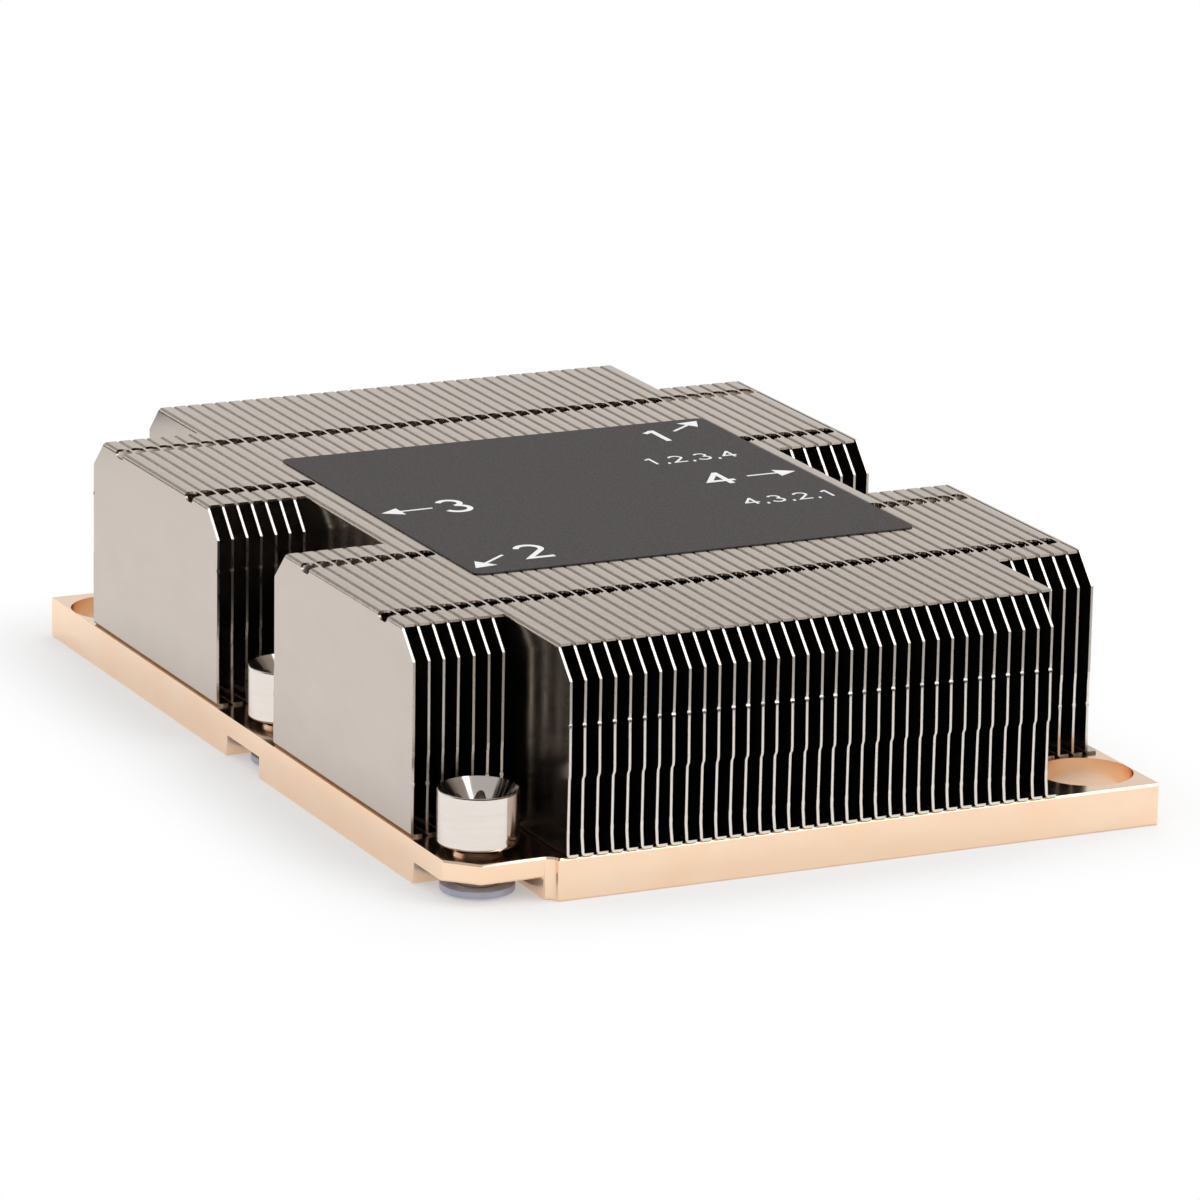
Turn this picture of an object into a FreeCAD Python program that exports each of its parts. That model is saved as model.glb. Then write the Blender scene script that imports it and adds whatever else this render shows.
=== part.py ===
import FreeCAD, Part
import math
import os

# Low passive cooler for a server processor. A copper base carries folded aluminium fins that
# hook into one another in four rows. Four captive nuts, each kept in its tab by a plastic
# washer below, draw the base down onto the studs round the socket. Two holes at the other
# corners slip over the guide pins.
# X runs along the front edge, Y from front to back and Z up, with the origin in the middle of
# the contact face under the base. Lengths are in millimetres.

# Base plate
base_width = 78.0
base_depth = 108.0
base_height = 4.4

# Fastener pattern, measured inwards from the sides and the ends of the base
fastener_side_inset = 5.0
fastener_end_inset = 6.6
guide_hole_radius = 4.95

# Tabs that the nuts stand on, thinned from below
tab_thickness = 2.1
tab_setback = 1.1
tab_corner_bevel = 2.9
pocket_clearance = 0.45
corner_pocket_reach = 4.6

# Folded fins
sheet = 0.3
fin_height = 20.95
fin_count = 48
fin_gap = 0.18
fin_inset_left = 0.25
fin_inset_right = 0.53
fin_corner_length = 2.85
fin_corner_height = 3.05

# Fins at each side that leave wells open, for the driver to reach the nuts
short_fin_count = 7
well_reach_corner = 5.4
well_reach_middle = 7.5

# Rows where each fin's tongues hook into the windows of the next fin, measured inwards from
# the ends of the short fins
outer_row_inset = 7.4
inner_row_inset = 7.8
tongue_width = 1.6
tongue_overlap = 0.17
window_clearance = 0.3
window_lip = 0.18

# Label on top of the fins
label_side = 50.0
label_thickness = 0.15
label_offset_x = 0.7

# Captive nut: head with a six-lobe socket, and a hollow stem that reaches through the tab
head_radius = 4.1
head_height = 6.15
socket_radius = 2.8
socket_waist_radius = 2.0
socket_depth = 3.2
stem_radius = 2.1
stem_clearance = 0.3
thread_radius = 1.25
stem_floor_gap = 0.1

# Retaining washer round the foot of the stem
washer_radius = 3.75
washer_thickness = 0.7
washer_setback = 0.15
washer_bore_clearance = 0.05

# Sizes that follow
fastener_x = base_width / 2 - fastener_side_inset
fastener_y = base_depth / 2 - fastener_end_inset
fin_top = base_height + fin_height
fin_pitch = (base_width - fin_inset_left - fin_inset_right + fin_gap) / fin_count
flange_width = fin_pitch - fin_gap
short_fin_end = fastener_y - well_reach_corner
outer_row_y = short_fin_end - outer_row_inset
inner_row_y = well_reach_middle + inner_row_inset
tab_underside = base_height - tab_thickness
pocket_radius = washer_radius + pocket_clearance
washer_bottom = stem_floor_gap + washer_setback
rim_height = base_height + head_height
socket_floor = rim_height - socket_depth
nut_places = (
    (fastener_x, fastener_y),
    (-fastener_x, -fastener_y),
    (-fastener_x, 0.0),
    (fastener_x, 0.0),
)
guide_places = ((fastener_x, -fastener_y), (-fastener_x, fastener_y))


def box(x0, x1, y0, y1, z0, z1):
    """Block between two opposite corners."""
    return Part.makeBox(x1 - x0, y1 - y0, z1 - z0, FreeCAD.Vector(x0, y0, z0))


def prism(points, direction):
    """Closed outline of points, pushed along a direction."""
    outline = Part.makePolygon(points + points[:1])
    return Part.Face(outline).extrude(direction)


def turned(profile):
    """Solid turned about Z from a list of (radius, height) points."""
    points = [FreeCAD.Vector(radius, 0, height) for radius, height in profile]
    face = Part.Face(Part.makePolygon(points + points[:1]))
    return face.revolve(FreeCAD.Vector(0, 0, 0), FreeCAD.Vector(0, 0, 1), 360)


def half_turn(shape):
    """Copy of a shape, turned half way round the middle of the base."""
    copy = shape.copy()
    copy.rotate(FreeCAD.Vector(0, 0, 0), FreeCAD.Vector(0, 0, 1), 180)
    return copy


def front_nut_corner_waste():
    """Metal milled off the front left corner of the base: the step and the bevel of the tab."""
    left = -base_width / 2
    front = -base_depth / 2
    step_end = -(fastener_x - corner_pocket_reach)
    tab_front = front + tab_setback
    step = box(left, step_end, front, tab_front, 0, base_height)
    cutter_end = Part.makeCylinder(tab_setback, base_height, FreeCAD.Vector(step_end, front, 0))
    bevel = prism(
        [
            FreeCAD.Vector(left, tab_front, 0),
            FreeCAD.Vector(left + tab_corner_bevel, tab_front, 0),
            FreeCAD.Vector(left, tab_front + tab_corner_bevel, 0),
        ],
        FreeCAD.Vector(0, 0, base_height),
    )
    return [step, cutter_end, bevel]


def front_corner_pocket():
    """Pocket under the front left tab, open at the front and at the side."""
    left = -base_width / 2
    front = -base_depth / 2
    inner_x = -(fastener_x - corner_pocket_reach)
    inner_y = -(fastener_y - pocket_radius)
    pocket = box(left, inner_x, front, inner_y, 0, tab_underside)
    inner_corner = FreeCAD.Vector(inner_x, inner_y, tab_underside / 2)
    inner_edge = min(pocket.Edges, key=lambda edge: (edge.CenterOfMass - inner_corner).Length)
    return pocket.makeFillet(pocket_radius / 2, [inner_edge])


def left_middle_pocket():
    """Slot under the left middle tab, open at the side and round at its inner end."""
    left = -base_width / 2
    slot = box(left, -fastener_x, -pocket_radius, pocket_radius, 0, tab_underside)
    round_end = Part.makeCylinder(
        pocket_radius, tab_underside, FreeCAD.Vector(-fastener_x, 0, 0)
    )
    return slot.fuse(round_end)


def base_plate():
    """Copper base with its stepped nut corners, tabs, stem holes and guide holes."""
    plate = box(-base_width / 2, base_width / 2, -base_depth / 2, base_depth / 2, 0, base_height)
    cuts = front_nut_corner_waste() + [front_corner_pocket(), left_middle_pocket()]
    cuts += [half_turn(cut) for cut in cuts]
    stem_hole_radius = stem_radius + stem_clearance
    for x, y in nut_places:
        cuts.append(Part.makeCylinder(stem_hole_radius, base_height, FreeCAD.Vector(x, y, 0)))
    for x, y in guide_places:
        cuts.append(Part.makeCylinder(guide_hole_radius, base_height, FreeCAD.Vector(x, y, 0)))
    return plate.cut(cuts).removeSplitter()


def web_outline(front, back, rows):
    """Side view of a fin's upright web: bevelled upper corners and a notch at each window."""
    half_window = tongue_width / 2 + window_clearance
    notch_floor = fin_top - sheet
    points = [(front, base_height), (front, fin_top - fin_corner_height)]
    points.append((front + fin_corner_length, fin_top))
    for row in rows:
        points.append((row - half_window, fin_top))
        points.append((row - half_window, notch_floor))
        points.append((row + half_window, notch_floor))
        points.append((row + half_window, fin_top))
    points.append((back - fin_corner_length, fin_top))
    points += [(back, fin_top - fin_corner_height), (back, base_height)]
    return [FreeCAD.Vector(0, y, z) for y, z in points]


def top_flange_outline(front, back, rows):
    """Plan of a fin's upper flange, with a window at each row that leaves a lip for the tongue."""
    half_window = tongue_width / 2 + window_clearance
    window_end = flange_width - window_lip
    points = [(0, front + fin_corner_length)]
    points.append((flange_width, front + fin_corner_length))
    points.append((flange_width, back - fin_corner_length))
    points.append((0, back - fin_corner_length))
    for row in reversed(rows):
        points.append((0, row + half_window))
        points.append((window_end, row + half_window))
        points.append((window_end, row - half_window))
        points.append((0, row - half_window))
    return [FreeCAD.Vector(x, y, fin_top) for x, y in points]


def tongue(row):
    """Tongue that dips from the edge of the upper flange into the notch of the next fin's window."""
    reach = fin_gap + sheet + tongue_overlap
    side = row - tongue_width / 2
    points = [
        FreeCAD.Vector(flange_width, side, fin_top),
        FreeCAD.Vector(flange_width, side, fin_top - sheet),
        FreeCAD.Vector(flange_width + reach, side, fin_top - sheet),
    ]
    return prism(points, FreeCAD.Vector(0, tongue_width, 0))


def folded_fin(front, back, rows, has_top):
    """One piece of folded sheet from front to back, with its web's outer face at x = 0."""
    web = prism(web_outline(front, back, rows), FreeCAD.Vector(sheet, 0, 0))
    foot = box(0, flange_width, front, back, base_height, base_height + sheet)
    pieces = [foot]
    if has_top:
        outline = top_flange_outline(front, back, rows)
        pieces.append(prism(outline, FreeCAD.Vector(0, 0, -sheet)))
        pieces += [tongue(row) for row in rows]
    return web.fuse(pieces).removeSplitter()


def fin_pieces(is_full, has_top):
    """The solids of one fin: one from end to end, or two where it stops short of the wells."""
    rows = [-outer_row_y, -inner_row_y, inner_row_y, outer_row_y]
    if is_full:
        return [folded_fin(-base_depth / 2, base_depth / 2, rows, has_top)]
    front_piece = folded_fin(-short_fin_end, -well_reach_middle, rows[:2], has_top)
    back_piece = folded_fin(well_reach_middle, short_fin_end, rows[2:], has_top)
    return [front_piece, back_piece]


def label():
    """Square label lying on the fins."""
    half = label_side / 2
    left = label_offset_x - half
    return box(left, left + label_side, -half, half, fin_top, fin_top + label_thickness)


def six_lobe_outline(height):
    """Outline of the driver socket, a wave of six lobes round a circle."""
    middle = (socket_radius + socket_waist_radius) / 2
    swing = (socket_radius - socket_waist_radius) / 2
    points = []
    for degrees in range(0, 360, 15):
        angle = math.radians(degrees)
        radius = middle + swing * math.cos(6 * angle)
        points.append(FreeCAD.Vector(radius * math.cos(angle), radius * math.sin(angle), height))
    return points


def captive_nut():
    """Nut on the axis x = y = 0: turned head, hollow stem and six-lobe socket."""
    body = turned(
        [
            (thread_radius, stem_floor_gap),
            (stem_radius, stem_floor_gap),
            (stem_radius, base_height),
            (head_radius, base_height),
            (head_radius, rim_height),
            (thread_radius, rim_height),
        ]
    )
    return body.cut(prism(six_lobe_outline(socket_floor), FreeCAD.Vector(0, 0, socket_depth)))


def retaining_washer():
    """Flat ring on the stem, on the axis x = y = 0."""
    bore = stem_radius + washer_bore_clearance
    top = washer_bottom + washer_thickness
    return turned(
        [(bore, washer_bottom), (washer_radius, washer_bottom), (washer_radius, top), (bore, top)]
    )


def save(name, solids):
    """Write the solids of one node."""
    shape = solids[0] if len(solids) == 1 else Part.makeCompound(solids)
    shape.exportStep(f"parts/{name}.step")


def main():
    os.makedirs("parts", exist_ok=True)
    save("base_plate", [base_plate()])
    save("label", [label()])

    full = fin_pieces(True, True)
    split = fin_pieces(False, True)
    last = fin_pieces(False, False)
    first_web = -base_width / 2 + fin_inset_left
    for index in range(fin_count):
        web_x = first_web + index * fin_pitch
        is_full = short_fin_count <= index < fin_count - short_fin_count
        pieces = full if is_full else split
        if index == fin_count - 1:
            pieces = last
        placed = [piece.translated(FreeCAD.Vector(web_x, 0, 0)) for piece in pieces]
        save(f"fin_{index + 1:02d}", placed)

    nut = captive_nut()
    washer = retaining_washer()
    for number, (x, y) in enumerate(nut_places, start=1):
        place = FreeCAD.Vector(x, y, 0)
        save(f"captive_nut_{number}", [nut.translated(place)])
        save(f"retaining_washer_{number}", [washer.translated(place)])


main()
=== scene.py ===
import math
import random

import bmesh
import bpy
from mathutils import Matrix, Vector, geometry


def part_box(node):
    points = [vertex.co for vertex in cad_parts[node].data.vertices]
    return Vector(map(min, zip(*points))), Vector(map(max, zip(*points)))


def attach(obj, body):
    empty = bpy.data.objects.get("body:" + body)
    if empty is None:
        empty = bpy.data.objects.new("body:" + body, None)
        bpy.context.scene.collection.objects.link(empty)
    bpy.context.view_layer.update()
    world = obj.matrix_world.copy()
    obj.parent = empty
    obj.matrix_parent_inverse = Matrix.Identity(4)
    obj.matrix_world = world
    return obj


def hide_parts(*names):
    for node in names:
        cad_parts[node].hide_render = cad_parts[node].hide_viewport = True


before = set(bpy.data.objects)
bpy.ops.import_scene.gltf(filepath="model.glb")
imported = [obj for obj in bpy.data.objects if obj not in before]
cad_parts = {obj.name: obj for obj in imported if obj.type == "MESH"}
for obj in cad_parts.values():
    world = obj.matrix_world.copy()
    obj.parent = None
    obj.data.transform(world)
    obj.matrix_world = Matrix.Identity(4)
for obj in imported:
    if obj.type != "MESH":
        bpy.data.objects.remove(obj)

# Looks of a low passive processor cooler: folded fins on a copper base, four captive nuts and a
# numbered label. Lengths are in millimetres here and become metres where a mesh is made.
MM = 0.001

# Studio: light from all round, and the levels that metal mirrors in each part of the room
SOFT_LEVEL = 0.95
OVERHEAD_LEVEL = 0.35
ZENITH_LEVEL = 0.5
FRONT_LEVEL = 0.04
BELOW_LEVEL = 0.12

# Where each part of the room begins and ends, by how far a direction points up or to the back
OVERHEAD_RISE = (0.15, 0.5)
ZENITH_RISE = (0.55, 0.75)
FRONT_TURN = (-0.1, 0.4)
HORIZON = (-0.05, 0.0)

# Table top, partly faded to white beside the base and wholly from the shadow's reach on
TABLE_HALF = 140.0
TABLE_TONE = (0.93, 0.93, 0.93, 1)
SHADOW_LIFT = 0.35
SHADOW_REACH = 18.0
WHITE = (1, 1, 1, 1)

# Soft lamp
LAMP_PLACE = (420, -320, 650)
LAMP_TARGET = (0, 0, 10)
LAMP_SIZE = 580
LAMP_POWER = 1.7

# Camera, found by matching the object's corners in a picture of 1200 by 1200
IMAGE_SIDE = 1200
SENSOR_WIDTH = 36.0
FOCAL_PIXELS = 7305.0
CAMERA_PLACE = (-320.8, -667.4, 218.0)
CAMERA_AZIMUTH = 25.792
CAMERA_DROP = 15.409
CAMERA_ROLL = 1.0445
NEAREST = 10.0
FARTHEST = 10000.0

# Folded sheet
FIN_COUNT = 48
SHEET = 0.26
FOLD_RADIUS = 0.27
CORNER_LENGTH = 2.85
CORNER_HEIGHT = 3.05
WELL_HALF = 7.5
SHORT_FINS = 7
FOOT_ROUNDING = 0.35
LEAN = 0.05

# Interlock of each fin with the next
TONGUE_WIDTH = 1.6
TONGUE_BEND_RADIUS = 0.28
TONGUE_BEND = math.radians(72)
TONGUE_STRAIGHT = 0.34
TONGUE_ROUNDING = 0.3
WINDOW_HALF = 1.1
WINDOW_LIP = 0.18
WINDOW_DROP = 0.75
WINDOW_ROUNDING = 0.62
OUTER_ROW = 34.6
INNER_ROW = 15.3

# Material slots of the folded sheet; the cut edge and the nib carry painted highlight, the flange
# carries painted shade
SKIN, CUT_EDGE_HIGHLIGHT, SHEAR_BAND, SHADED_FLANGE, NIB_GLINT = range(5)

# Heights of the marks that the shear leaves on the end edges of the webs
FULL_NIB = 17.8
FRONT_NIB = 9.8
WELL_NIB = 19.0
JOG_HEIGHT = 12.5
STEP_HEIGHT = 7.1

# Sizes of these marks, swellings as shares of the sheet's thickness
JOG_SHIFT = 0.13
BULGE_SHIFT = 0.06
NIB_SWELL = 0.7
STEP_SWELL = 0.3
LOWER_SWELL = 0.15
NIB_DENT = 0.14
NIB_WIDTH = 0.16
DENT_WIDTH = 0.14
SHIFT_REACH = 0.5
SWELL_REACH = 0.25

# Strength of the marks: over the chance range, on short fins, on the wall of the wells
CHANCE_RANGE = (0.75, 1.1)
SHORT_STRENGTH = 0.25
WALL_STRENGTH = 0.4
LEAST_NIB_STRENGTH = 0.8

# Rows of points beside each mark, and in from each end of a web
MARK_ROWS = (-0.7, -0.35, -0.18, -0.06, 0.06, 0.18, 0.35, 0.7)
END_ROWS = (0.12, 0.35, 0.8, 1.6, 3.2)
FOLD_MARGIN = 0.04

# Machined base
BROKEN_EDGE = 0.2
GUIDE_RADIUS = 4.95

# Captive nut
SEAT_RADIUS = 2.3
SEAT_TAPER = 0.25
SHOULDER_HEIGHT = 0.7
MOUTH_RADIUS = 3.93
LOBE_RADIUS = 0.45
RIDGE_RADIUS = 1.2
SOCKET_RADIUS = 2.8
SOCKET_WAIST = 1.995
SOCKET_DEPTH = 3.2
STEM_RADIUS = 2.1
STEM_BEVEL = 0.15
THREAD_CORE = 1.25
THREAD_PITCH = 0.5
THREAD_DEPTH = 0.25
THREAD_STEPS = 8
RING_POINTS = 96

# Retaining washer
WASHER_GAP = 0.05
WASHER_ROUNDING = 0.12
WASHER_TURNS = (0, 22.5, 45, 67.5, 90)

# Label
LABEL_ROUNDING = 1.0
LABEL_SOFTNESS = 0.03
PRINT_HEIGHT = 0.02
NUMBER_HEIGHT = 5.0
NUMBER_STROKE = 0.31
ROW_HEIGHT = 2.6
ROW_ADVANCE = 2.12
ROW_STROKE = 0.14
ARROW_HEAD = 2.2
ARROW_HALF = 1.3
ARROW_SHAFT = 0.17

base_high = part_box("base_plate")[1] / MM
last_low, last_high = (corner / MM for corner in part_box("fin_48"))
full_low, full_high = (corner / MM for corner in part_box("fin_20"))
short_low, short_high = (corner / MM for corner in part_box("fin_01"))
foot_z = full_low.z
fin_top = full_high.z
flange = last_high.x - last_low.x
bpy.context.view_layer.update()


# Meshes

def mesh_piece(name, points, faces, materials, face_materials=None, sharp_degrees=35):
    """Object from points in millimetres, smooth except along its sharp edges."""
    mesh = bpy.data.meshes.new(name)
    mesh.from_pydata([Vector(p) * MM for p in points], [], faces)
    for material in materials:
        mesh.materials.append(material)
    if face_materials:
        mesh.polygons.foreach_set("material_index", face_materials)
    work = bmesh.new()
    work.from_mesh(mesh)
    bmesh.ops.recalc_face_normals(work, faces=work.faces)
    limit = math.radians(sharp_degrees)
    for face in work.faces:
        face.smooth = True
    for edge in work.edges:
        if len(edge.link_faces) == 2:
            edge.smooth = edge.calc_face_angle() < limit
    work.to_mesh(mesh)
    work.free()
    piece = bpy.data.objects.new(name, mesh)
    bpy.context.scene.collection.objects.link(piece)
    return piece


def dress(piece, body, slot, *nodes):
    """Let a piece ride on its body in place of CAD nodes; the slot is not used."""
    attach(piece, body)
    if nodes:
        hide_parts(*nodes)


def cut_flat(points, edges, loops, keep):
    """Triangles between flat outlines, where keep accepts a triangle's loops and its middle."""
    result = geometry.delaunay_2d_cdt([Vector(p) for p in points], edges, loops, 1, 1e-6)
    flat_points, _, faces, _, _, sources = result
    kept = []
    for face, inside in zip(faces, sources):
        middle = sum((flat_points[index] for index in face), Vector((0, 0))) / 3
        if keep(inside, middle):
            kept.append(face)
    used = sorted({index for face in kept for index in face})
    renamed = {old: new for new, old in enumerate(used)}
    triangles = [[renamed[index] for index in face] for face in kept]
    return [flat_points[index] for index in used], triangles


def encloses(outline, place):
    """Whether a place lies inside a closed outline, by counting the sides that a ray crosses."""
    crossings = 0
    for i, (x, y) in enumerate(outline):
        last_x, last_y = outline[i - 1]
        if (y > place.y) != (last_y > place.y):
            crossing_x = x + (place.y - y) / (last_y - y) * (last_x - x)
            crossings += place.x < crossing_x
    return crossings % 2 == 1


def rim_edges(triangles):
    """Directed edges that only one triangle has: the rim of the cut outline."""
    directed = {edge for a, b, c in triangles for edge in ((a, b), (b, c), (c, a))}
    return [(a, b) for a, b in sorted(directed) if (b, a) not in directed]


def smoothstep(value):
    """Smooth rise from 0 to 1 while a value does the same."""
    value = min(max(value, 0.0), 1.0)
    return value * value * (3 - 2 * value)


def hump(distance, width):
    """Smooth hump of height 1 with a width."""
    return math.exp(-((distance / width) ** 2))


# Folded fins

half_sheet = SHEET / 2
foot_flat = flange - half_sheet - FOLD_RADIUS
quarter = math.pi * FOLD_RADIUS / 2
web_low = foot_z + half_sheet + FOLD_RADIUS
web_high = fin_top - half_sheet - FOLD_RADIUS
web_start = foot_flat + quarter
web_end = web_start + web_high - web_low
flange_start = web_end + quarter
flange_end = flange_start + foot_flat
tongue_arc = TONGUE_BEND_RADIUS * TONGUE_BEND
tongue_end = flange_end + tongue_arc + TONGUE_STRAIGHT


def strip_point(s):
    """Middle of the folded strip at a distance s from the foot's edge: x, z and outward normal."""
    centre_x = half_sheet + FOLD_RADIUS
    if s <= foot_flat:
        return flange - s, foot_z + half_sheet, 0.0, -1.0
    if s < web_start:
        turn = (s - foot_flat) / FOLD_RADIUS
        x = centre_x - FOLD_RADIUS * math.sin(turn)
        return x, web_low - FOLD_RADIUS * math.cos(turn), -math.sin(turn), -math.cos(turn)
    if s <= web_end:
        return half_sheet, web_low + s - web_start, -1.0, 0.0
    if s < flange_start:
        turn = (s - web_end) / FOLD_RADIUS
        x = centre_x - FOLD_RADIUS * math.cos(turn)
        return x, web_high + FOLD_RADIUS * math.sin(turn), -math.cos(turn), math.sin(turn)
    if s <= flange_end:
        return centre_x + s - flange_start, fin_top - half_sheet, 0.0, 1.0
    turn = min((s - flange_end) / TONGUE_BEND_RADIUS, TONGUE_BEND)
    straight = max(s - flange_end - tongue_arc, 0.0)
    x = flange + TONGUE_BEND_RADIUS * math.sin(turn) + straight * math.cos(turn)
    z = fin_top - half_sheet - TONGUE_BEND_RADIUS * (1 - math.cos(turn)) - straight * math.sin(turn)
    return x, z, math.sin(turn), math.cos(turn)


def web_station(z):
    """Distance along the strip at which the web reaches a height."""
    return web_start + z - web_low


def spread(start, end, count):
    """Evenly spaced values, both ends included."""
    return [start + (end - start) * i / (count - 1) for i in range(count)]


def end_inset(s):
    """How far the strip's end edge stands back at a distance s: foot corner and bevelled top."""
    inset = 0.0
    if s < FOOT_ROUNDING:
        reach = FOOT_ROUNDING - s
        inset = FOOT_ROUNDING - math.sqrt(FOOT_ROUNDING**2 - reach**2)
    z = strip_point(min(s, flange_end))[1]
    if s > web_start:
        bevel_start = fin_top - CORNER_HEIGHT
        share = (z - bevel_start) / (CORNER_HEIGHT - half_sheet)
        inset += CORNER_LENGTH * min(max(share, 0.0), 1.0)
    return inset


def fold_stations(has_top, nib):
    """Distances at which the strip bends or its end edge changes, from the foot upwards."""
    stations = [0.0, 0.08, 0.2, FOOT_ROUNDING]
    stations.append(foot_flat - FOLD_MARGIN)
    stations += spread(foot_flat, web_start, 6)
    stations.append(web_start + FOLD_MARGIN)
    for height in sorted((STEP_HEIGHT, JOG_HEIGHT, nib)):
        stations += [web_station(height + rise) for rise in MARK_ROWS]
    stations.append(web_station(fin_top - CORNER_HEIGHT))
    if has_top:
        stations.append(web_end - FOLD_MARGIN)
        stations += spread(web_end, flange_start, 7)
        stations += [flange_start + FOLD_MARGIN, flange_end]
    else:
        stations.append(web_station(fin_top))
    return stations


def window_outline(row):
    """Rounded window of one row, in the flat strip: from the web over the fold into the flange."""
    low = web_station(fin_top - WINDOW_DROP)
    high = flange_start + flange - WINDOW_LIP - half_sheet - FOLD_RADIUS
    corners = (
        (high - WINDOW_ROUNDING, row + WINDOW_HALF - WINDOW_ROUNDING, 0),
        (low + WINDOW_ROUNDING, row + WINDOW_HALF - WINDOW_ROUNDING, 90),
        (low + WINDOW_ROUNDING, row - WINDOW_HALF + WINDOW_ROUNDING, 180),
        (high - WINDOW_ROUNDING, row - WINDOW_HALF + WINDOW_ROUNDING, 270),
    )
    outline = []
    for s, y, start in corners:
        for degrees in range(start, start + 91, 15):
            angle = math.radians(degrees)
            out_s = s + WINDOW_ROUNDING * math.cos(angle)
            out_y = y + WINDOW_ROUNDING * math.sin(angle)
            outline.append((out_s, out_y))
    return outline


def tongue_outline(row):
    """Edge of one tongue, in the flat strip, from its front root round its tip to its back root."""
    half = TONGUE_WIDTH / 2
    steps = spread(flange_end, tongue_end - TONGUE_ROUNDING, 7)
    front = [(s, row - half) for s in steps]
    tip_s = tongue_end - TONGUE_ROUNDING
    tip = []
    for degrees in (30, 60, 90):
        angle = math.radians(degrees)
        out = TONGUE_ROUNDING * math.sin(angle)
        back = TONGUE_ROUNDING * (1 - math.cos(angle))
        tip.append((tip_s + out, row - half + back))
    mirrored = [(s, 2 * row - y) for s, y in reversed(front + tip)]
    return front + tip + mirrored


def cut_strip(front, back, rows, has_top, nib):
    """Flat strip cut to shape: points as (s, y) and triangles."""
    stations = fold_stations(has_top, nib)
    outline = [(s, front + end_inset(s)) for s in stations]
    if has_top:
        for row in rows:
            outline += tongue_outline(row)
    back_start = len(outline)
    outline += [(s, back - end_inset(s)) for s in reversed(stations)]
    points = list(outline)
    edges = []
    for i in range(1, len(stations) - 1):
        edges.append((i, back_start + len(stations) - 1 - i))
    loops = [list(range(len(outline)))]
    if has_top:
        for row in rows:
            window = window_outline(row)
            loops.append(list(range(len(points), len(points) + len(window))))
            points += window
            tongue = tongue_outline(row)
            first = outline.index(tongue[0])
            for step in range(len(tongue) // 2):
                edges.append((first + step, first + len(tongue) - 1 - step))
    for inset in END_ROWS:
        for y in (front + inset, back - inset):
            edges.append((len(points), len(points) + 1))
            points += [(0.0, y), (stations[-1], y)]
    return cut_flat(points, edges, loops, lambda inside, middle: inside == [0])


def end_marks(z, distance, strength, nib):
    """Shift, thickening and dent of a web's end edge, left by the shear that cut it."""
    fade = math.exp(-distance / SHIFT_REACH) * strength
    near = math.exp(-distance / SWELL_REACH) * strength
    nib_near = math.exp(-distance / SWELL_REACH) * max(strength, LEAST_NIB_STRENGTH)
    below_jog = smoothstep((JOG_HEIGHT + 0.18 - z) / 0.36)
    above_foot = smoothstep((z - foot_z - 0.4) / 1.5)
    shift = -JOG_SHIFT * below_jog * above_foot + BULGE_SHIFT * hump(z - JOG_HEIGHT - 1.0, 1.2)
    at_nib = NIB_SWELL * hump(z - nib, NIB_WIDTH)
    thickening = STEP_SWELL * hump(z - STEP_HEIGHT, NIB_WIDTH)
    thickening += LOWER_SWELL * smoothstep((STEP_HEIGHT - z) / 0.2)
    dent = NIB_DENT * hump(z - nib - 0.08, DENT_WIDTH)
    return shift * fade, thickening * near + at_nib * nib_near, dent * near


def rim_slot(a, b, front, back, nib):
    """Material slot of one step of the rim, between two points of the flat strip."""
    s = max(a[0], b[0])
    at_end = min(a[1] - front, back - a[1]) < CORNER_LENGTH + 0.1
    if not at_end or s > flange_start + 0.01:
        return SHADED_FLANGE
    # Steps at the nib take near-white metal: a painted glint on the nib
    if abs((a[0] + b[0]) / 2 - web_station(nib)) < 0.2:
        return NIB_GLINT
    # Other steps of the web's end edges take the pale cut-edge metal: bare metal with a painted
    # highlight
    band = web_station(FULL_NIB + 0.1) < s < web_station(fin_top - CORNER_HEIGHT) + 0.01
    return SHEAR_BAND if band else CUT_EDGE_HIGHLIGHT


def sheet_place(s, has_top):
    """Middle of the sheet and its outward normal; without a top the web runs straight up."""
    if has_top or s < web_end:
        return strip_point(s)
    return half_sheet, web_low + s - web_start, -1.0, 0.0


def folded_strip(front, back, rows, has_top, strength, lean, nib):
    """One folded piece of sheet: points, faces and the material slot of each face."""
    flat_points, triangles = cut_strip(front, back, rows, has_top, nib)
    outer, inner = [], []
    for s, y in flat_points:
        x, z, normal_x, normal_z = sheet_place(s, has_top)
        distance = min(y - front, back - y)
        shift, thickening, dent = 0.0, 0.0, 0.0
        if web_start < s < web_end:
            shift, thickening, dent = end_marks(z, distance, strength, nib)
        y += dent if y - front < back - y else -dent
        rise = (z - foot_z) / (fin_top - foot_z)
        x += shift + lean * math.sin(math.pi * rise) * (0.3 + math.exp(-distance / 6.0))
        reach = half_sheet * (1 + thickening)
        outer.append((x + normal_x * reach, y, z + normal_z * half_sheet))
        inner.append((x - normal_x * reach, y, z - normal_z * half_sheet))
    count = len(flat_points)
    faces = [list(face) for face in triangles]
    faces += [[count + index for index in reversed(face)] for face in triangles]
    lowest = [min(flat_points[i][0] for i in face) for face in triangles]
    # Folds and flanges take the flange metal, whose darker tone is painted shade
    slots = [SKIN if s < web_end else SHADED_FLANGE for s in lowest] * 2
    for a, b in rim_edges(triangles):
        faces.append([b, a, count + a, count + b])
        slots.append(rim_slot(flat_points[a], flat_points[b], front, back, nib))
    return outer + inner, faces, slots


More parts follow.
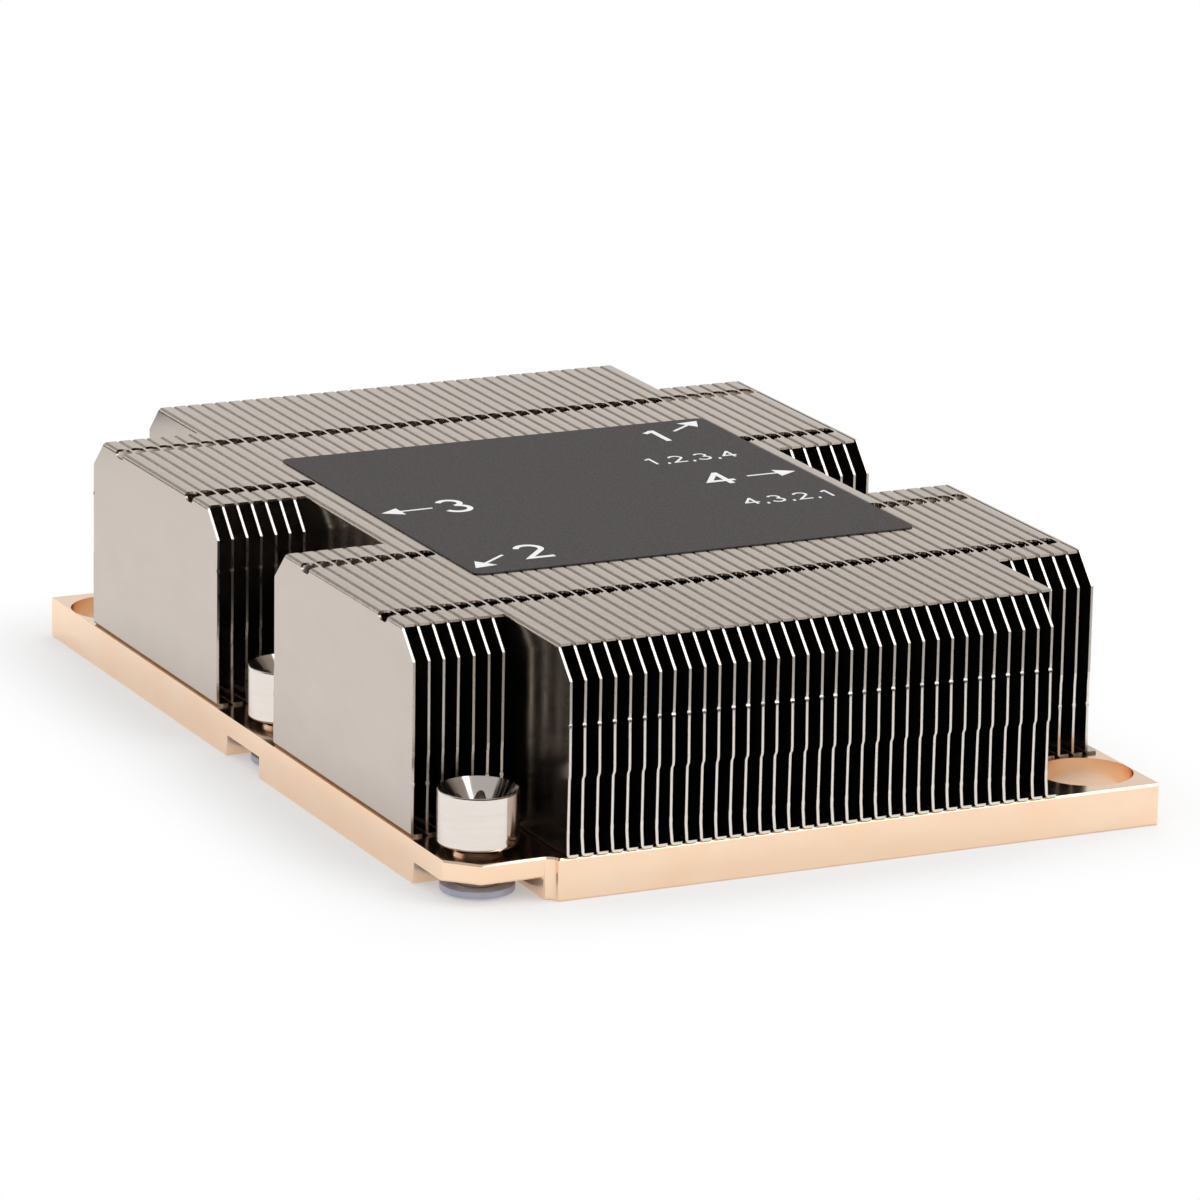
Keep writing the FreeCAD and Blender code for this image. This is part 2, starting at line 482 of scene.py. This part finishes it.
def fin(index, materials):
    """The fin with this number, from 1: one strip, or two where it stops short of the wells."""
    node = f"fin_{index:02d}"
    web_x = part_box(node)[0].x / MM
    is_short = index <= SHORT_FINS or index > FIN_COUNT - SHORT_FINS
    has_top = index < FIN_COUNT
    chance = random.Random(index)
    if is_short:
        runs = [
            (short_low.y, -WELL_HALF, [-OUTER_ROW, -INNER_ROW], FRONT_NIB),
            (WELL_HALF, short_high.y, [INNER_ROW, OUTER_ROW], WELL_NIB),
        ]
    else:
        all_rows = [-OUTER_ROW, -INNER_ROW, INNER_ROW, OUTER_ROW]
        runs = [(full_low.y, full_high.y, all_rows, FULL_NIB)]
    points, faces, slots = [], [], []
    for front, back, rows, nib in runs:
        strength = (SHORT_STRENGTH if is_short else 1.0) * chance.uniform(*CHANCE_RANGE)
        if index == SHORT_FINS + 1:
            strength *= WALL_STRENGTH
        lean = chance.uniform(-LEAN, LEAN)
        strip = folded_strip(front, back, rows, has_top, strength, lean, nib)
        faces += [[len(points) + i for i in face] for face in strip[1]]
        points += [(x + web_x, y, z) for x, y, z in strip[0]]
        slots += strip[2]
    piece = mesh_piece(f"folded_{node}", points, faces, materials, slots)
    dress(piece, "heatsink", "fin_metal", node)


# Copper base

def stays_sharp(edge):
    """Whether an edge runs along a side or round a guide hole, with a thin wall between them."""
    low, high = (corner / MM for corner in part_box("captive_nut_1"))
    hole = (low + high).xy / 2
    ends = [vert.co / MM for vert in edge.verts]
    level = abs(ends[0].z - ends[1].z) < 0.01
    if level and all(abs(end.x) > base_high.x - 0.01 for end in ends):
        return True
    for end in ends:
        from_hole = (Vector((abs(end.x), abs(end.y))) - hole).length
        if end.x * end.y >= 0 or from_hole > GUIDE_RADIUS + 0.1:
            return False
    return True


def base(material):
    """The base with its machined edges broken by a small bevel."""
    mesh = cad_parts["base_plate"].data.copy()
    work = bmesh.new()
    work.from_mesh(mesh)
    bmesh.ops.remove_doubles(work, verts=work.verts, dist=1e-6)
    bmesh.ops.dissolve_limit(
        work, angle_limit=math.radians(1), verts=work.verts, edges=work.edges)
    corners = [edge for edge in work.edges if edge.calc_face_angle(0.0) > math.radians(40)]
    bmesh.ops.bevel(
        work,
        geom=[edge for edge in corners if not stays_sharp(edge)],
        offset=BROKEN_EDGE * MM,
        offset_type="OFFSET",
        segments=1,
        affect="EDGES",
        clamp_overlap=False,
    )
    for face in work.faces:
        face.smooth = True
    for edge in work.edges:
        edge.smooth = edge.calc_face_angle(0.0) < math.radians(30)
    work.to_mesh(mesh)
    work.free()
    mesh.materials.clear()
    mesh.materials.append(material)
    piece = bpy.data.objects.new("copper_base", mesh)
    bpy.context.scene.collection.objects.link(piece)
    dress(piece, "heatsink", "copper", "base_plate")


# Nuts and washers

sixth = math.radians(60)
lobe_centre = SOCKET_RADIUS - LOBE_RADIUS
ridge_centre = SOCKET_WAIST + RIDGE_RADIUS
lobe_place = Vector((lobe_centre, 0))
ridge_place = Vector((ridge_centre * math.cos(sixth / 2), ridge_centre * math.sin(sixth / 2)))
touch_place = lobe_place + (ridge_place - lobe_place).normalized() * LOBE_RADIUS
touch_angle = math.atan2(touch_place.y, touch_place.x)


def arc_reach(centre, radius, angle, side):
    """Distance along a ray from the axis to a circle, at its far side (1) or its near side (-1)."""
    half_chord = math.sqrt(max(radius**2 - (centre * math.sin(angle)) ** 2, 0.0))
    return centre * math.cos(angle) + side * half_chord


def lobe_reach(angle):
    """Distance from the axis to the wall of the six-lobe socket."""
    from_lobe = abs((angle + sixth / 2) % sixth - sixth / 2)
    if from_lobe < touch_angle:
        return arc_reach(lobe_centre, LOBE_RADIUS, from_lobe, 1)
    return arc_reach(ridge_centre, RIDGE_RADIUS, sixth / 2 - from_lobe, -1)


def lathe(name, rings, materials):
    """Closed surface through rings; each ring gives a radius and a height for an angle."""
    points, faces = [], []
    for ring in rings:
        for step in range(RING_POINTS):
            angle = 2 * math.pi * step / RING_POINTS
            radius, height = ring(angle)
            points.append((radius * math.cos(angle), radius * math.sin(angle), height))
    count = len(rings)
    for r in range(count):
        here = r * RING_POINTS
        beyond = (r + 1) % count * RING_POINTS
        for step in range(RING_POINTS):
            after = (step + 1) % RING_POINTS
            faces.append([here + step, here + after, beyond + after, beyond + step])
    return mesh_piece(name, points, faces, materials, sharp_degrees=28)


def plain_ring(radius, height):
    """Ring that keeps one radius and height."""
    return lambda angle: (radius, height)


def cone_ring(rim_z, share):
    """Ring part of the way down the conical mouth, from its round rim to the lobed socket."""
    def at(angle):
        drop = (lobe_reach(angle) - MOUTH_RADIUS) * share
        return MOUTH_RADIUS + drop, rim_z + drop

    return at


def lobed_ring(height):
    """Ring on the wall of the six-lobe socket."""
    return lambda angle: (lobe_reach(angle), height)


def thread_ring(height):
    """Ring of the thread, whose depth goes round with the angle."""
    def at(angle):
        phase = (height / THREAD_PITCH + angle / (2 * math.pi)) % 1.0
        return THREAD_CORE + THREAD_DEPTH * abs(2 * phase - 1), height

    return at


def nut(number, material):
    """Captive nut: seat, polished head, conical mouth, six-lobe socket and threaded stem."""
    node = f"captive_nut_{number}"
    low, high = (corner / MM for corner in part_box(node))
    head_radius = (high.x - low.x) / 2
    seat_z = base_high.z
    shoulder_z = seat_z + SHOULDER_HEIGHT
    rim_z = high.z
    floor_z = rim_z - SOCKET_DEPTH
    stem_z = low.z
    profile = (
        (THREAD_CORE + THREAD_DEPTH, stem_z),
        (STEM_RADIUS - STEM_BEVEL, stem_z),
        (STEM_RADIUS, stem_z + STEM_BEVEL),
        (STEM_RADIUS, seat_z),
        (SEAT_RADIUS, seat_z),
        (SEAT_RADIUS + SEAT_TAPER, shoulder_z - 0.1),
        (head_radius - 0.2, shoulder_z),
        (head_radius - 0.06, shoulder_z + 0.06),
        (head_radius, shoulder_z + 0.2),
        (head_radius, shoulder_z + 0.26),
        (head_radius, rim_z - 0.18),
        (head_radius, rim_z - 0.12),
        (head_radius - 0.03, rim_z - 0.04),
        (head_radius - 0.1, rim_z),
        (MOUTH_RADIUS, rim_z),
    )
    rings = [plain_ring(radius, height) for radius, height in profile]
    rings += [cone_ring(rim_z, share) for share in (0.03, 0.5, 1.0)]
    rings += [lobed_ring(floor_z + 0.9), lobed_ring(floor_z)]
    rings.append(plain_ring(THREAD_CORE + THREAD_DEPTH, floor_z))
    turns = int((floor_z - stem_z) / THREAD_PITCH)
    steps = turns * THREAD_STEPS
    for step in range(1, steps):
        rings.append(thread_ring(floor_z - (floor_z - stem_z) * step / steps))
    piece = lathe(f"turned_nut_{number}", rings, [material])
    piece.location = Vector(((low.x + high.x) / 2, (low.y + high.y) / 2, 0)) * MM
    dress(piece, f"nut_{number}", "nut_steel", node)


def washer(number, material):
    """Moulded washer with soft edges."""
    node = f"retaining_washer_{number}"
    low, high = (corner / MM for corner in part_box(node))
    outer = (high.x - low.x) / 2
    inner = STEM_RADIUS + WASHER_GAP
    rings = []
    corners = (
        (outer, high.z, -1, -1, WASHER_TURNS[::-1]),
        (inner, high.z, 1, -1, WASHER_TURNS),
        (inner, low.z, 1, 1, WASHER_TURNS[::-1]),
        (outer, low.z, -1, 1, WASHER_TURNS),
    )
    for radius, height, side, up, turns in corners:
        for degrees in turns:
            angle = math.radians(degrees)
            r = radius + side * WASHER_ROUNDING * (1 - math.sin(angle))
            z = height + up * WASHER_ROUNDING * (1 - math.cos(angle))
            rings.append(plain_ring(r, z))
    piece = lathe(f"moulded_washer_{number}", rings, [material])
    piece.location = Vector(((low.x + high.x) / 2, (low.y + high.y) / 2, 0)) * MM
    dress(piece, f"retainer_{number}", "washer_plastic", node)


# Label

def label_plate(material):
    """Square film with rounded corners."""
    low, high = (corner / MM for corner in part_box("label"))
    top = high.z - PRINT_HEIGHT
    layers = ((0.0, low.z), (0.0, top - LABEL_SOFTNESS), (LABEL_SOFTNESS, top))
    corners = (
        (high.x, high.y, 0), (low.x, high.y, 90), (low.x, low.y, 180), (high.x, low.y, 270)
    )
    points = []
    for inset, z in layers:
        for x, y, start in corners:
            middle_x = x - math.copysign(LABEL_ROUNDING, x)
            middle_y = y - math.copysign(LABEL_ROUNDING, y)
            for degrees in range(start, start + 91, 10):
                angle = math.radians(degrees)
                r = LABEL_ROUNDING - inset
                points.append((middle_x + r * math.cos(angle), middle_y + r * math.sin(angle), z))
    count = len(points) // len(layers)
    faces = [list(range(count))[::-1], list(range(2 * count, 3 * count))]
    for layer in range(2):
        for i in range(count):
            j = (i + 1) % count
            low_edge = [layer * count + i, layer * count + j]
            faces.append(low_edge + [(layer + 1) * count + j, (layer + 1) * count + i])
    piece = mesh_piece("label_film", points, faces, [material])
    dress(piece, "heatsink", "label", "label")


def arc(centre_x, centre_y, wide, high, start, end):
    """Points of an elliptic arc between two angles in degrees."""
    count = max(int(abs(end - start) / 15), 2) + 1
    turns = [math.radians(degrees) for degrees in spread(start, end, count)]
    return [(centre_x + wide * math.cos(t), centre_y + high * math.sin(t)) for t in turns]


# Strokes of each figure, in a cell one unit high that is centred on the figure
FIGURE_STROKES = {
    "1": [[(-0.17, 0.29), (-0.04, 0.36), (0.04, 0.44)], [(0.06, 0.48), (0.06, -0.46)]],
    "2": [arc(0.0, 0.21, 0.26, 0.25, 165, -35) + [(-0.27, -0.46), (0.28, -0.46)]],
    "3": [
        arc(-0.02, 0.23, 0.23, 0.22, 155, -80),
        arc(-0.02, -0.21, 0.27, 0.25, 80, -160),
    ],
    "4": [[(0.31, -0.2), (-0.28, -0.2), (0.13, 0.42)], [(0.13, 0.46), (0.13, -0.46)]],
    ",": [[(0.0, -0.4), (0.0, -0.5), (-0.05, -0.6)]],
}
FIGURE_ADVANCE = {",": 0.42}


def stroke_outline(line, half):
    """Closed outline round a line of points, with mitred bends and square ends."""
    left, right = [], []
    for i, point in enumerate(line):
        before = Vector(line[max(i - 1, 0)])
        after = Vector(line[min(i + 1, len(line) - 1)])
        place = Vector(point)
        into = (place - before).normalized() if i > 0 else (after - place).normalized()
        out = (after - place).normalized() if i < len(line) - 1 else into
        across = Vector((-(into + out).y, (into + out).x)).normalized()
        reach = half / max(across.dot(Vector((-into.y, into.x))), 0.45)
        left.append(place + across * reach)
        right.append(place - across * reach)
    return left + right[::-1]


def printed_mark(name, outlines, material):
    """Thin raised print from closed outlines on the label's top."""
    points, loops = [], []
    for outline in outlines:
        loops.append(list(range(len(points), len(points) + len(outline))))
        points += [(p[0], p[1]) for p in outline]

    def printed(_, middle):
        return any(encloses(outline, middle) for outline in outlines)

    flat_points, triangles = cut_flat(points, [], loops, printed)
    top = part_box("label")[1].z / MM
    count = len(flat_points)
    solid_points = [(x, y, z) for z in (top, top - PRINT_HEIGHT) for x, y in flat_points]
    faces = [list(face) for face in triangles]
    faces += [[count + index for index in reversed(face)] for face in triangles]
    faces += [[b, a, count + a, count + b] for a, b in rim_edges(triangles)]
    piece = mesh_piece(name, solid_points, faces, [material])
    dress(piece, "heatsink", "label")


def figure_outlines(text, x, y, height, advance, half):
    """Outlines of a row of figures, centred on a place."""
    steps = [FIGURE_ADVANCE.get(figure, 1.0) * advance for figure in text]
    outlines = []
    pen = x - sum(steps) / 2
    for figure, step in zip(text, steps):
        middle = pen + step / 2
        for line in FIGURE_STROKES[figure]:
            placed = [(middle + px * height, y + py * height) for px, py in line]
            outlines.append(stroke_outline(placed, half))
        pen += step
    return outlines


def arrow_outline(tail, tip):
    """Outline of an arrow with a thin shaft and a solid head."""
    along = Vector((tip[0] - tail[0], tip[1] - tail[1]))
    length = along.length
    along.normalize()
    across = Vector((-along.y, along.x))
    neck = length - ARROW_HEAD
    corners = [
        (0, ARROW_SHAFT), (neck, ARROW_SHAFT), (neck, ARROW_HALF), (length, 0),
        (neck, -ARROW_HALF), (neck, -ARROW_SHAFT), (0, -ARROW_SHAFT),
    ]
    return [Vector(tail) + along * distance + across * side for distance, side in corners]


def label_print(material):
    """Numbers and arrows that give the order of the nuts."""
    marks = (
        ("1", (17.6, 19.3), (20.2, 20.6), (24.5, 23.8)),
        ("3", (-15.1, 0.4), (-17.6, 0.4), (-23.4, 0.3)),
        ("4", (15.5, 0.5), (18.9, 0.3), (24.6, 0.3)),
        ("2", (-15.2, -19.1), (-18.7, -19.3), (-23.3, -22.9)),
    )
    for figure, (x, y), tail, tip in marks:
        outlines = figure_outlines(figure, x, y, NUMBER_HEIGHT, 0, NUMBER_STROKE)
        outlines.append(arrow_outline(tail, tip))
        printed_mark(f"printed_number_{figure}", outlines, material)
    rows = (("1,2,3,4", 16.65, 9.5), ("4,3,2,1", 19.0, -9.3))
    for number, (text, x, y) in enumerate(rows, start=1):
        outlines = figure_outlines(text, x, y, ROW_HEIGHT, ROW_ADVANCE, ROW_STROKE)
        printed_mark(f"printed_order_{number}", outlines, material)


# Materials

def new_material(name):
    """Material with a Principled shader; gives the material, its nodes, its links and the shader."""
    material = bpy.data.materials.new(name)
    material.use_nodes = True
    nodes = material.node_tree.nodes
    return material, nodes, material.node_tree.links, nodes["Principled BSDF"]


def grain(nodes, links, scale, stretch, detail=4.0):
    """Noise in the object's own space, stretched along its axes."""
    place = nodes.new("ShaderNodeTexCoord")
    mapping = nodes.new("ShaderNodeMapping")
    mapping.inputs["Scale"].default_value = stretch
    noise = nodes.new("ShaderNodeTexNoise")
    noise.inputs["Scale"].default_value = scale
    noise.inputs["Detail"].default_value = detail
    links.new(place.outputs["Object"], mapping.inputs["Vector"])
    links.new(mapping.outputs["Vector"], noise.inputs["Vector"])
    return noise


def tint(nodes, links, noise, dark, light, shader):
    """Colour between two tones by a noise."""
    ramp = nodes.new("ShaderNodeValToRGB")
    ramp.color_ramp.elements[0].position = 0.3
    ramp.color_ramp.elements[1].position = 0.7
    ramp.color_ramp.elements[0].color = (*dark, 1)
    ramp.color_ramp.elements[1].color = (*light, 1)
    links.new(noise.outputs["Fac"], ramp.inputs["Fac"])
    links.new(ramp.outputs["Color"], shader.inputs["Base Color"])


def vary_roughness(nodes, links, noise, low, high, shader):
    """Roughness between two values by a noise."""
    spread_map = nodes.new("ShaderNodeMapRange")
    spread_map.inputs["From Min"].default_value = 0.3
    spread_map.inputs["From Max"].default_value = 0.7
    spread_map.inputs["To Min"].default_value = low
    spread_map.inputs["To Max"].default_value = high
    links.new(noise.outputs["Fac"], spread_map.inputs["Value"])
    links.new(spread_map.outputs["Result"], shader.inputs["Roughness"])


def bump(nodes, links, noise, strength, distance, shader):
    """Relief from a noise."""
    relief = nodes.new("ShaderNodeBump")
    relief.inputs["Strength"].default_value = strength
    relief.inputs["Distance"].default_value = distance * MM
    links.new(noise.outputs["Fac"], relief.inputs["Height"])
    links.new(relief.outputs["Normal"], shader.inputs["Normal"])


def web_material():
    """Smooth rolled sheet of the upright webs."""
    material, nodes, links, shader = new_material("rolled_fin_metal")
    shader.inputs["Metallic"].default_value = 1.0
    cloud = grain(nodes, links, 300, (1.0, 0.5, 1.0))
    tint(nodes, links, cloud, (0.555, 0.483, 0.427), (0.585, 0.512, 0.455), shader)
    vary_roughness(nodes, links, cloud, 0.15, 0.20, shader)
    bump(nodes, links, grain(nodes, links, 9000, (1.0, 0.4, 1.0)), 0.04, 0.01, shader)
    return material


def shaded_flange_material():
    """The same sheet on the flanges and folds, finely speckled by the folding tool, with a darker
    tone than the webs that is painted shade on the tops.
    """
    material, nodes, links, shader = new_material("rolled_flange_metal_painted_shade")
    shader.inputs["Metallic"].default_value = 1.0
    speckle = grain(nodes, links, 3500, (1.0, 0.4, 1.0), detail=2.0)
    # Darker range than the webs is painted shade on the tops; the spread within it is the real
    # speckle
    tint(nodes, links, speckle, (0.49, 0.41, 0.34), (0.595, 0.51, 0.435), shader)
    vary_roughness(nodes, links, speckle, 0.17, 0.24, shader)
    bump(nodes, links, speckle, 0.05, 0.01, shader)
    return material


def cut_edge_material(name, dark, light):
    """Bare metal where the shear cut the sheet, streaked along the cut, in the tones given; the pale
    tones of cut edge and nib are painted highlight.
    """
    material, nodes, links, shader = new_material(name)
    shader.inputs["Metallic"].default_value = 1.0
    streaks = grain(nodes, links, 2500, (1.0, 1.0, 0.3))
    tint(nodes, links, streaks, dark, light, shader)
    vary_roughness(nodes, links, streaks, 0.24, 0.34, shader)
    return material


def copper_material():
    """Bare copper with faint clouds and milling."""
    material, nodes, links, shader = new_material("milled_copper")
    shader.inputs["Metallic"].default_value = 1.0
    cloud = grain(nodes, links, 250, (0.6, 0.6, 1.0))
    tint(nodes, links, cloud, (0.99, 0.70, 0.49), (1.0, 0.76, 0.56), shader)
    vary_roughness(nodes, links, cloud, 0.13, 0.19, shader)
    bump(nodes, links, grain(nodes, links, 2500, (0.3, 0.3, 1.0)), 0.05, 0.01, shader)
    return material


def nut_material():
    """Polished plating over turned steel."""
    material, nodes, links, shader = new_material("polished_nut")
    shader.inputs["Metallic"].default_value = 1.0
    turned = grain(nodes, links, 1500, (0.1, 0.1, 1.0))
    tint(nodes, links, turned, (0.77, 0.71, 0.65), (0.83, 0.76, 0.70), shader)
    vary_roughness(nodes, links, turned, 0.08, 0.16, shader)
    return material


def washer_material():
    """Pale bluish plastic that light enters a little."""
    material, nodes, links, shader = new_material("moulded_washer")
    cloud = grain(nodes, links, 400, (1, 1, 1))
    tint(nodes, links, cloud, (0.40, 0.42, 0.52), (0.46, 0.48, 0.58), shader)
    shader.inputs["Roughness"].default_value = 0.35
    shader.inputs["Subsurface Weight"].default_value = 0.3
    shader.inputs["Subsurface Radius"].default_value = (0.001, 0.001, 0.001)
    return material


def label_material():
    """Matt dark film with a fine grain."""
    material, nodes, links, shader = new_material("label_film")
    cloud = grain(nodes, links, 3800, (1, 1, 1), detail=2.0)
    tint(nodes, links, cloud, (0.036, 0.031, 0.029), (0.073, 0.064, 0.059), shader)
    shader.inputs["Roughness"].default_value = 0.6
    shader.inputs["Specular IOR Level"].default_value = 0.3
    bump(nodes, links, cloud, 0.15, 0.01, shader)
    return material


def print_material():
    """White print."""
    material, nodes, links, shader = new_material("white_print")
    cloud = grain(nodes, links, 900, (1, 1, 1))
    tint(nodes, links, cloud, (0.80, 0.80, 0.79), (0.88, 0.88, 0.87), shader)
    shader.inputs["Roughness"].default_value = 0.6
    return material


# Stage

def seen_rays(nodes, links, *kinds):
    """Value of 1 for rays of any of these kinds, from the Light Path node."""
    path = nodes.new("ShaderNodeLightPath")
    value = path.outputs[kinds[0]]
    for kind in kinds[1:]:
        either = nodes.new("ShaderNodeMath")
        either.operation = "MAXIMUM"
        links.new(value, either.inputs[0])
        links.new(path.outputs[kind], either.inputs[1])
        value = either.outputs[0]
    return value


def choose(nodes, links, share, low, high):
    """Value between two others, which may be numbers or sockets."""
    blend = nodes.new("ShaderNodeMapRange")
    links.new(share, blend.inputs["Value"])
    for name, end in (("To Min", low), ("To Max", high)):
        if isinstance(end, float):
            blend.inputs[name].default_value = end
        else:
            links.new(end, blend.inputs[name])
    return blend.outputs["Result"]


def ramp_between(nodes, links, value, ends, low, high):
    """Smooth step from one level to another while a socket's value passes between two ends."""
    step = nodes.new("ShaderNodeMapRange")
    step.interpolation_type = "SMOOTHSTEP"
    step.inputs["From Min"].default_value = ends[0]
    step.inputs["From Max"].default_value = ends[1]
    step.inputs["To Min"].default_value = low
    step.inputs["To Max"].default_value = high
    links.new(value, step.inputs["Value"])
    return step.outputs["Result"]


def times(nodes, links, first, second):
    """Product of two sockets."""
    product = nodes.new("ShaderNodeMath")
    product.operation = "MULTIPLY"
    links.new(first, product.inputs[0])
    links.new(second, product.inputs[1])
    return product.outputs[0]


def world_light():
    """White background and plain soft light; metal mirrors a room that is dimmer off the backdrop."""
    world = bpy.data.worlds.new("studio")
    bpy.context.scene.world = world
    world.use_nodes = True
    nodes, links = world.node_tree.nodes, world.node_tree.links
    background = nodes["Background"]
    background.inputs["Color"].default_value = WHITE
    place = nodes.new("ShaderNodeTexCoord")
    parts = nodes.new("ShaderNodeSeparateXYZ")
    links.new(place.outputs["Generated"], parts.inputs[0])
    up, back = parts.outputs["Z"], parts.outputs["Y"]
    overhead = ramp_between(nodes, links, up, OVERHEAD_RISE, 1.0, OVERHEAD_LEVEL)
    front = ramp_between(nodes, links, back, FRONT_TURN, FRONT_LEVEL, 1.0)
    below = ramp_between(nodes, links, up, HORIZON, BELOW_LEVEL, 1.0)
    low_room = times(nodes, links, times(nodes, links, overhead, front), below)
    zenith = ramp_between(nodes, links, up, ZENITH_RISE, 0.0, 1.0)
    room = choose(nodes, links, zenith, low_room, ZENITH_LEVEL)
    mirrored = seen_rays(nodes, links, "Is Glossy Ray")
    seen = seen_rays(nodes, links, "Is Camera Ray", "Is Transmission Ray")
    level = choose(nodes, links, mirrored, SOFT_LEVEL, room)
    level = choose(nodes, links, seen, level, 1.0)
    links.new(level, background.inputs["Strength"])


def floor():
    """Pale table top that fades to the white of the background away from the object."""
    half = TABLE_HALF
    corners = [(-half, -half, 0), (half, -half, 0), (half, half, 0), (-half, half, 0)]
    material, nodes, links, shader = new_material("floor")
    shader.inputs["Base Color"].default_value = TABLE_TONE
    shader.inputs["Roughness"].default_value = 0.9
    shader.inputs["Specular IOR Level"].default_value = 0.0
    white = nodes.new("ShaderNodeEmission")
    white.inputs["Color"].default_value = WHITE
    seen = seen_rays(nodes, links, "Is Camera Ray", "Is Glossy Ray", "Is Transmission Ray")
    place = nodes.new("ShaderNodeNewGeometry")
    beyond = place.outputs["Position"]
    reach = (base_high.x * MM, base_high.y * MM, 0)
    for operation, operand in (("ABSOLUTE", None), ("SUBTRACT", reach), ("MAXIMUM", (0, 0, 0))):
        step = nodes.new("ShaderNodeVectorMath")
        step.operation = operation
        links.new(beyond, step.inputs[0])
        if operand is not None:
            step.inputs[1].default_value = operand
        beyond = step.outputs["Vector"]
    distance = nodes.new("ShaderNodeVectorMath")
    distance.operation = "LENGTH"
    links.new(beyond, distance.inputs[0])
    fade = ramp_between(
        nodes, links, distance.outputs["Value"], (0.0, SHADOW_REACH * MM), SHADOW_LIFT, 1.0)
    mix = nodes.new("ShaderNodeMixShader")
    links.new(times(nodes, links, fade, seen), mix.inputs["Fac"])
    links.new(shader.outputs[0], mix.inputs[1])
    links.new(white.outputs[0], mix.inputs[2])
    links.new(mix.outputs[0], nodes["Material Output"].inputs["Surface"])
    piece = mesh_piece("floor", corners, [[0, 1, 2, 3]], [material])


def soft_lamp():
    """Large square lamp that points at the object from above."""
    lamp = bpy.data.lights.new("soft_lamp", "AREA")
    lamp.shape = "SQUARE"
    lamp.size = LAMP_SIZE * MM
    lamp.energy = LAMP_POWER
    holder = bpy.data.objects.new("soft_lamp", lamp)
    bpy.context.scene.collection.objects.link(holder)
    holder.location = Vector(LAMP_PLACE) * MM
    direction = Vector(LAMP_TARGET) - Vector(LAMP_PLACE)
    holder.rotation_euler = direction.to_track_quat("-Z", "Y").to_euler()


def camera():
    """Camera at the viewing angle of the picture."""
    data = bpy.data.cameras.new("camera")
    data.sensor_width = SENSOR_WIDTH
    data.lens = SENSOR_WIDTH * FOCAL_PIXELS / IMAGE_SIDE
    data.clip_start = NEAREST * MM
    data.clip_end = FARTHEST * MM
    azimuth, drop, roll = (math.radians(d) for d in (CAMERA_AZIMUTH, CAMERA_DROP, CAMERA_ROLL))
    forward = Vector((
        math.sin(azimuth) * math.cos(drop), math.cos(azimuth) * math.cos(drop), -math.sin(drop)))
    level = Vector((math.cos(azimuth), -math.sin(azimuth), 0))
    upright = level.cross(forward)
    right = level * math.cos(roll) + upright * math.sin(roll)
    up = upright * math.cos(roll) - level * math.sin(roll)
    holder = bpy.data.objects.new("camera", data)
    bpy.context.scene.collection.objects.link(holder)
    turn = Matrix((right, up, -forward)).transposed().to_4x4()
    holder.matrix_world = Matrix.Translation(Vector(CAMERA_PLACE) * MM) @ turn
    bpy.context.scene.camera = holder


def main():
    """Dress every node, then set the stage."""
    fin_materials = [
        web_material(),
        # Pale tones of the cut edges: bare metal brightened by a painted highlight where the edges
        # face the light
        cut_edge_material("sheared_edge_painted_highlight", (0.76, 0.70, 0.63), (0.90, 0.84, 0.77)),
        cut_edge_material("shear_band", (0.50, 0.45, 0.40), (0.62, 0.56, 0.50)),
        # Flange metal: its darker tone is painted shade on the tops
        shaded_flange_material(),
        # Near-white nib tones: a painted glint on the nibs
        cut_edge_material("sheared_nib_painted_glint", (0.93, 0.91, 0.87), (1.0, 0.98, 0.95)),
    ]
    for index in range(1, FIN_COUNT + 1):
        fin(index, fin_materials)
    base(copper_material())
    nut_metal = nut_material()
    washer_plastic = washer_material()
    for number in range(1, 5):
        nut(number, nut_metal)
        washer(number, washer_plastic)
    label_plate(label_material())
    label_print(print_material())
    floor()
    world_light()
    soft_lamp()
    camera()
    bpy.context.scene.view_settings.view_transform = "Standard"


main()
